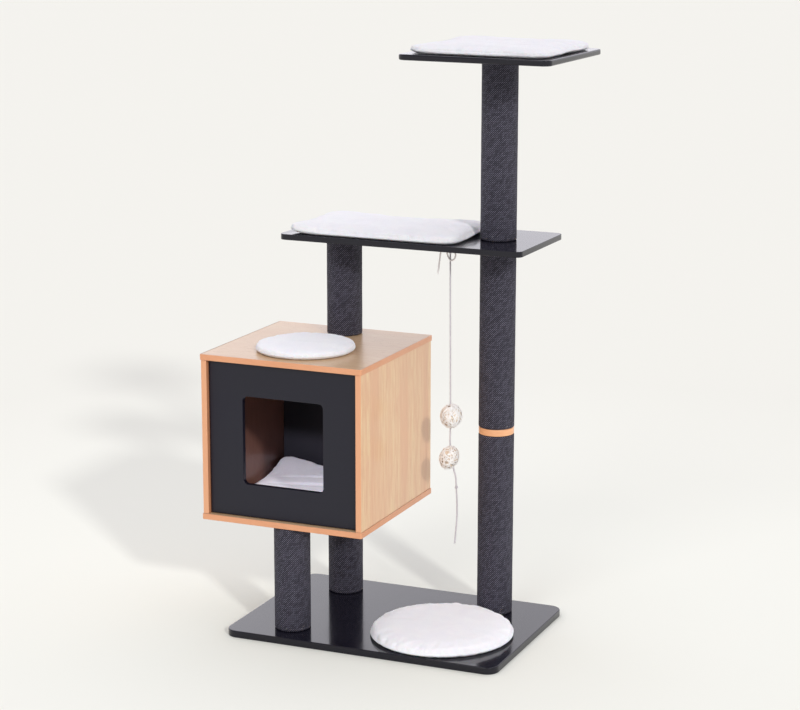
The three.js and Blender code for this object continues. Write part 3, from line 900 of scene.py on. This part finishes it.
VOXEL = 5 * MM
SHRINK = 3.0 * MM  # the cloth starts this much smaller and swells
CAP = 7 * MM  # the furthest that a point may move in the simulation
FLAT_FROM, FLATNESS = 0.42, 0.5  # above this share of the height the crown is pressed flatter
OUTLINE_POINTS = 128
PAD_EDGE = 11 * MM
SEAM_SHARE = 0.28  # height of the widest line, as a share of the pad's
CLOTH = {
    "quality": 5,
    "mass": 0.3,
    "tension_stiffness": 12,
    "compression_stiffness": 6,
    "shear_stiffness": 6,
    "bending_stiffness": 0.4,
    "use_pressure": True,
    "uniform_pressure_force": 4.0,
    "shrink_min": -0.02,
}
SEAM_POINTS = 220


def round_outline(size):
    turn = np.linspace(0, 2 * math.pi, OUTLINE_POINTS, endpoint=False)
    return np.stack([size.x / 2 * np.cos(turn), size.y / 2 * np.sin(turn)], 1)


def square_outline(size, corner, pull):
    """A rounded rectangle whose sides pull in a little between the corners."""
    ring = np.array(rounded_outline(size.x, size.y, corner))
    lean = 1 - np.abs(ring) / (np.array(size.xy) / 2)
    ring[:, 0] -= np.sign(ring[:, 0]) * pull * np.clip(lean[:, 1], 0, 1) ** 0.7 * (lean[:, 0] < 0.02)
    ring[:, 1] -= np.sign(ring[:, 1]) * pull * np.clip(lean[:, 0], 0, 1) ** 0.7 * (lean[:, 1] < 0.02)
    return ring


def start_shape(outline, size):
    """A low pad before it is filled: (share of the outline's width, height) from the middle up."""
    half = min(size.x, size.y) / 2
    height = size.z - SHRINK
    rise = SEAM_SHARE * size.z
    inset = 1 - SHRINK / half
    profile = [(0.35, 0.0), (0.75, 0.0), (inset - 0.5 * PAD_EDGE / half, 0.0), (inset, rise)]
    for inward, upward in ((0.1, 0.4), (0.4, 0.66), (1.1, 0.84)):
        profile.append((inset - inward * PAD_EDGE / half, rise + upward * (height - rise)))
    profile += [(0.72, rise + 0.95 * (height - rise)), (0.35, height)]
    count = len(outline)
    points = [(0.0, 0.0, 0.0)]
    for share, z in profile:
        points += [(share * x, share * y, z) for x, y in outline]
    points.append((0.0, 0.0, height))
    faces = [(0, 1 + (k + 1) % count, 1 + k) for k in range(count)]
    for ring in range(len(profile) - 1):
        faces += band(1 + ring * count, 1 + (ring + 1) * count, count)
    last = 1 + (len(profile) - 1) * count
    faces += [(last + k, last + (k + 1) % count, len(points) - 1) for k in range(count)]
    return points, faces


def fill_with_cloth(piece, seam_height):
    """Swells the pad as cloth under pressure. Its underside and its seam hold still."""
    remesh = piece.modifiers.new("even", "REMESH")
    remesh.mode = "VOXEL"
    remesh.voxel_size = VOXEL
    settle(piece)
    start = np.array([v.co for v in piece.data.vertices])
    reach = np.linalg.norm(start[:, :2], axis=1)
    held = piece.vertex_groups.new(name="held")
    normals = np.array([v.normal for v in piece.data.vertices])
    for k, (co, normal) in enumerate(zip(start, normals)):
        if normal[2] < -0.7 and co[2] < 2 * MM:
            held.add([k], 1.0, "REPLACE")
        elif abs(co[2] - seam_height) < 2.4 * MM and abs(normal[2]) < 0.75 and reach[k] > 20 * MM:
            held.add([k], 0.85, "REPLACE")
    settings = piece.modifiers.new("fill", "CLOTH").settings
    for name, value in CLOTH.items():
        setattr(settings, name, value)
    settings.vertex_group_mass = held.name
    settings.effector_weights.gravity = 0
    for number in range(1, 21):
        scene.frame_set(number)
    seen = piece.evaluated_get(bpy.context.evaluated_depsgraph_get())
    moved = np.array([v.co for v in seen.data.vertices]) - start
    far = np.linalg.norm(moved, axis=1)[:, None]
    moved *= np.minimum(1, CAP / np.maximum(far, 1e-9))
    piece.modifiers.clear()
    scene.frame_set(1)
    piece.data.vertices.foreach_set("co", (start + moved).ravel())


def subdivide(piece):
    finer = piece.modifiers.new("finer", "SUBSURF")
    finer.levels = finer.render_levels = 1
    settle(piece)


def step_up(value, low, high):
    t = np.clip((value - low) / (high - low), 0, 1)
    return t * t * (3 - 2 * t)


def shape_pad(piece, low, high, folds, lifts, seed):
    """Fits the filled pad to its place, then adds its folds, its lifted corners and the uneven pile."""
    co = np.array([v.co for v in piece.data.vertices])
    size, centre = np.array(high - low), np.array((low + high) / 2)
    was_low, was_high = co.min(0), co.max(0)
    co = (co - (was_low + was_high) / 2) / (was_high - was_low) * size
    share = co[:, 2] / size[2] + 0.5
    upper = np.clip((share - FLAT_FROM) / (1 - FLAT_FROM), 0, 1)
    share = np.where(share > FLAT_FROM, FLAT_FROM + (1 - FLAT_FROM) * upper**FLATNESS, share)
    co[:, 2] = (share - 0.5) * size[2]
    reach = np.max(np.abs(co[:, :2]) / (size[:2] / 2), axis=1)
    for k, p in enumerate(co):
        broad = lumps(p[0] * 14, p[1] * 14, seed)
        fine = lumps(p[0] * 120, p[1] * 120, p[2] * 120 + seed)
        tiny = lumps(p[0] * 330, p[1] * 330, p[2] * 330 + seed)
        loose = step_up(share[k], 0.15, 0.5)
        co[k, 2] += loose * (0.9 * broad + 0.25 * fine + 0.3 * tiny) * MM
        pucker = lumps(p[0] * 150, p[1] * 150, seed) * (1 - step_up(share[k], 0.4, 0.9))
        side = step_up(reach[k], 0.9, 1.0) * (0.5 * fine + 0.8 * tiny + 1.3 * pucker) * MM
        co[k, :2] += side * p[:2] / max(np.linalg.norm(p[:2]), 1e-6)
    for (x0, y0), (x1, y1), width, depth in folds:
        a, b = np.array([x0, y0]) * MM, np.array([x1, y1]) * MM
        along = b - a
        length = np.linalg.norm(along)
        t = np.clip(((co[:, :2] - a) @ along) / length**2, 0, 1)
        off = np.linalg.norm(co[:, :2] - a - t[:, None] * along, axis=1)
        fade = np.sin(np.pi * np.clip(t, 0.02, 0.98))
        co[:, 2] += step_up(share, 0.3, 0.8) * depth * MM * fade * np.exp(-((off / (width * MM)) ** 2))
    for (x, y), radius, lift in lifts:
        near = np.linalg.norm(co[:, :2] - np.array([x, y]) * MM, axis=1)
        co[:, 2] += lift * MM * (1 - step_up(near, 0, radius * MM))
    co += centre
    co[:, 2] = np.maximum(co[:, 2], low.z)
    piece.data.vertices.foreach_set("co", co.ravel())
    piece.data.update()


def seam_line(piece, low, high, share):
    """Points round the pad where its top and underside are sewn together."""
    tree = BVHTree.FromObject(piece, bpy.context.evaluated_depsgraph_get())
    centre = (low + high) / 2
    points = []
    for k in range(SEAM_POINTS):
        turn = 2 * math.pi * k / SEAM_POINTS
        out = Vector((math.cos(turn), math.sin(turn), 0))
        best = None
        for height in (share, share + 0.1, share + 0.2, share + 0.32, share + 0.46):
            start = Vector((centre.x, centre.y, low.z + height * (high.z - low.z))) + out * 0.5
            hit = tree.ray_cast(start, -out)[0]
            if hit and (best is None or (hit - centre).xy.length > (best - centre).xy.length + 0.4 * MM):
                best = hit
        points.append(best if best else points[-1])
    ring = np.array(points)
    for _ in range(3):
        ring = (np.roll(ring, 1, 0) + 2 * ring + np.roll(ring, -1, 0)) / 4
    return ring


def seam(name, ring, centre, body, material):
    """The sewn seam round a pad: a thin welt and its stitches."""
    outward = ring - np.array(centre)
    outward[:, 2] = 0
    outward /= np.linalg.norm(outward, axis=1)[:, None]
    section = round_section(1.1 * MM, 8)
    parts = [swept(ring - outward * 0.35 * MM, outward, [section] * len(ring), closed=True)]
    up = np.array([0, 0, 1.0])
    for k in range(0, len(ring), 2):
        tangent = ring[(k + 1) % len(ring)] - ring[k - 1]
        tangent /= np.linalg.norm(tangent)
        middle = ring[k] + outward[k] * 0.55 * MM + up * 0.5 * MM
        path = np.array([middle - tangent * 1.4 * MM, middle, middle + tangent * 1.4 * MM])
        parts.append(swept(path, [outward[k]] * 3, [round_section(0.3 * MM, 6)] * 3))
    made = add(name, *joined(parts), material, body)
    return made


# Folds are from, to, width and depth. Lifts are middle, radius and height. In millimetres about the
# middle of the pad.
# Each pad's white is scaled as painted light or painted shade: lighter on the mat under the tree, darker on
# the open middle and top pads.
PADS = [
    {
        "node": "base_mat",
        "painted_light_scale": 1.03,
        "folds": [
            ((-130, -20), (-20, 16), 9, -1.6),
            ((10, -70), (110, -40), 10, -1.3),
            ((30, 50), (90, 30), 9, -1),
        ],
        "lifts": [((0, 147), 70, 2.0), ((130, 60), 60, 1.5)],
    },
    {
        "node": "roof_pad",
        "painted_light_scale": 1.0,
        "folds": [((-60, -20), (70, -8), 8, -1.2), ((-40, 40), (50, 55), 8, -1)],
        "lifts": [((-40, 92), 50, 2.0)],
    },
    {
        "node": "house_pad",
        "painted_light_scale": 1.0,
        "corner": 24,
        "folds": [
            ((-120, -20), (60, 30), 8, -5), ((-90, -90), (120, -60), 9, -4), ((-60, 60), (130, 80), 8, -4),
            ((-130, 20), (20, 90), 7, -3), ((-20, -50), (140, -10), 7, -3),
        ],
        "lifts": [((-150, 150), 130, 17.0), ((-60, 150), 50, 3.0), ((160, 159), 120, -5.0)],
    },
    {
        "node": "middle_pad",
        "painted_light_scale": 0.92,
        "corner": 40,
        "folds": [
            ((110, 40), (178, -60), 10, -3.2),
            ((60, -30), (150, 10), 14, -1.6),
            ((-150, 10), (-40, 40), 16, -1.2),
        ],
        "lifts": [((-188, -114), 70, 4.0), ((188, 20), 60, 3.0)],
    },
    {
        "node": "top_pad",
        "painted_light_scale": 0.86,
        "corner": 45,
        "folds": [((-100, 20), (60, 50), 14, -1.2), ((20, -80), (110, -20), 12, -1.4)],
        "lifts": [((-147, -147), 60, 3.0), ((147, 0), 60, 2.0)],
    },
]


def pads():
    for number, pad in enumerate(PADS):
        node = pad["node"]
        low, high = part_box(node)
        size = high - low
        if "corner" in pad:
            outline = square_outline(size, pad["corner"] * MM, 4 * MM)
        else:
            outline = round_outline(size)
        points, faces = start_shape(outline, size)
        material = plush(f"{node}_white", pad["painted_light_scale"])
        piece = add(f"{node}_plush", points, faces, material, node)
        fill_with_cloth(piece, SEAM_SHARE * size.z)
        subdivide(piece)
        shape_pad(piece, low, high, pad["folds"], pad["lifts"], 3.7 * number)
        shade_smooth(piece.data)
        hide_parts(node)
        ring = seam_line(piece, low, high, 0.2)
        seam(f"{node}_seam", ring, (low + high) / 2, node, material)


pads()

# ---- floor and light

BACKDROP = (0.905, 0.896, 0.863)
# The floor is painted lighter near the object than far off: painted light that evens out the shade the
# object casts round it
FLOOR_NEAR, FLOOR_FAR = (0.819, 0.825, 0.753), (0.765, 0.763, 0.696)
FLOOR_FADE = (0.7, 2.3)  # how far from the middle the near colour starts and stops fading
FLOOR_REACH = 60
AROUND = (0.89, 0.875, 0.935)  # the studio's own light, a little cooler than the backdrop
IN_FRONT, BEHIND = 0.45, 1.4  # how bright the studio is in front of the object and behind it
BACK_LEFT = 1.3  # and how much brighter on its left
KEY = {"travel": (-0.662, 0.608, -0.438), "strength": 1.36, "angle": 4.5}
FILL = {"travel": (0.1, 0.83, -0.55), "strength": 0.65, "angle": 30.0}
DOOR_LIGHT = {
    "travel": (-0.2, 0.84, -0.5),
    "colour": (1.0, 0.97, 1.12),
    "power": 43.0,
    "angle": 20.0,
    "size": 0.04,
}
DOOR_LIT = ["house_pad_plush", "house_pad_seam", "house_back"]


def surround(world):
    """A plain backdrop for the camera, and a studio with a bright back wall for light and reflections."""
    tree = world.node_tree
    generated = add_node(tree, "TexCoord").outputs["Generated"]
    direction = add_node(tree, "SeparateXYZ", {"Vector": generated}).outputs
    smooth = {"interpolation_type": "SMOOTHSTEP"}
    depth = add_range(tree, direction["Y"], -0.9, 0.9, IN_FRONT, BEHIND, **smooth)
    left = add_range(tree, direction["X"], -0.5, -0.32, BACK_LEFT, 1.0, **smooth)
    strength = add_node(tree, "Math", {0: depth, 1: left}, operation="MULTIPLY").outputs[0]
    around = tree.nodes["Background"]
    around.inputs["Color"].default_value = (*AROUND, 1)
    tree.links.new(strength, around.inputs["Strength"])
    plain = add_node(tree, "Background", {"Color": (*BACKDROP, 1)})
    seen = add_node(tree, "LightPath").outputs["Is Camera Ray"]
    both = add_node(tree, "MixShader", {0: seen, 1: around.outputs[0], 2: plain.outputs[0]})
    tree.links.new(both.outputs[0], tree.nodes["World Output"].inputs["Surface"])


def aim(name, kind, at, travel, energy):
    """A light that shines along `travel`."""
    data = bpy.data.lights.new(name, kind)
    data.energy = energy
    light = bpy.data.objects.new(name, data)
    light.location = at
    light.rotation_mode = "QUATERNION"
    light.rotation_quaternion = Vector(travel).to_track_quat("-Z", "Y")
    scene.collection.objects.link(light)
    return light


def studio():
    scene.view_settings.view_transform = "Standard"
    world = bpy.data.worlds.new("studio")
    world.use_nodes = True
    scene.world = world
    surround(world)
    floor_finish = Finish("studio_floor", Roughness=1.0, Specular_IOR_Level=0.0)
    # Painted light: the floor's colour is lighter near the middle
    away = floor_finish.node("VectorMath", {0: floor_finish.place}, operation="LENGTH").outputs["Value"]
    share = floor_finish.spread(away, *FLOOR_FADE)
    floor_finish.drive("Base Color", floor_finish.mixed(share, FLOOR_NEAR, FLOOR_FAR))
    mesh = bpy.data.meshes.new("floor")
    r = FLOOR_REACH
    mesh.from_pydata([(-r, -r, 0), (r, -r, 0), (r, r, 0), (-r, r, 0)], [], [(0, 1, 2, 3)])
    mesh.materials.append(floor_finish.material)
    floor = bpy.data.objects.new("floor", mesh)
    scene.collection.objects.link(floor)
    for name, sun in (("key_light", KEY), ("fill_light", FILL)):
        light = aim(name, "SUN", (0, 0, 2), sun["travel"], sun["strength"])
        light.data.angle = math.radians(sun["angle"])
    low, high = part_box("house_front")
    travel = Vector(DOOR_LIGHT["travel"])
    spot = aim("door_light", "SPOT", (low + high) / 2 - travel, travel, DOOR_LIGHT["power"])
    spot.data.color = DOOR_LIGHT["colour"]
    spot.data.spot_size = math.radians(DOOR_LIGHT["angle"])
    spot.data.shadow_soft_size = DOOR_LIGHT["size"]
    lit = bpy.data.collections.new("lit_through_the_doorway")
    for name in DOOR_LIT:
        lit.objects.link(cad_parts.get(name) or bpy.data.objects[name])
    spot.light_linking.receiver_collection = lit


studio()
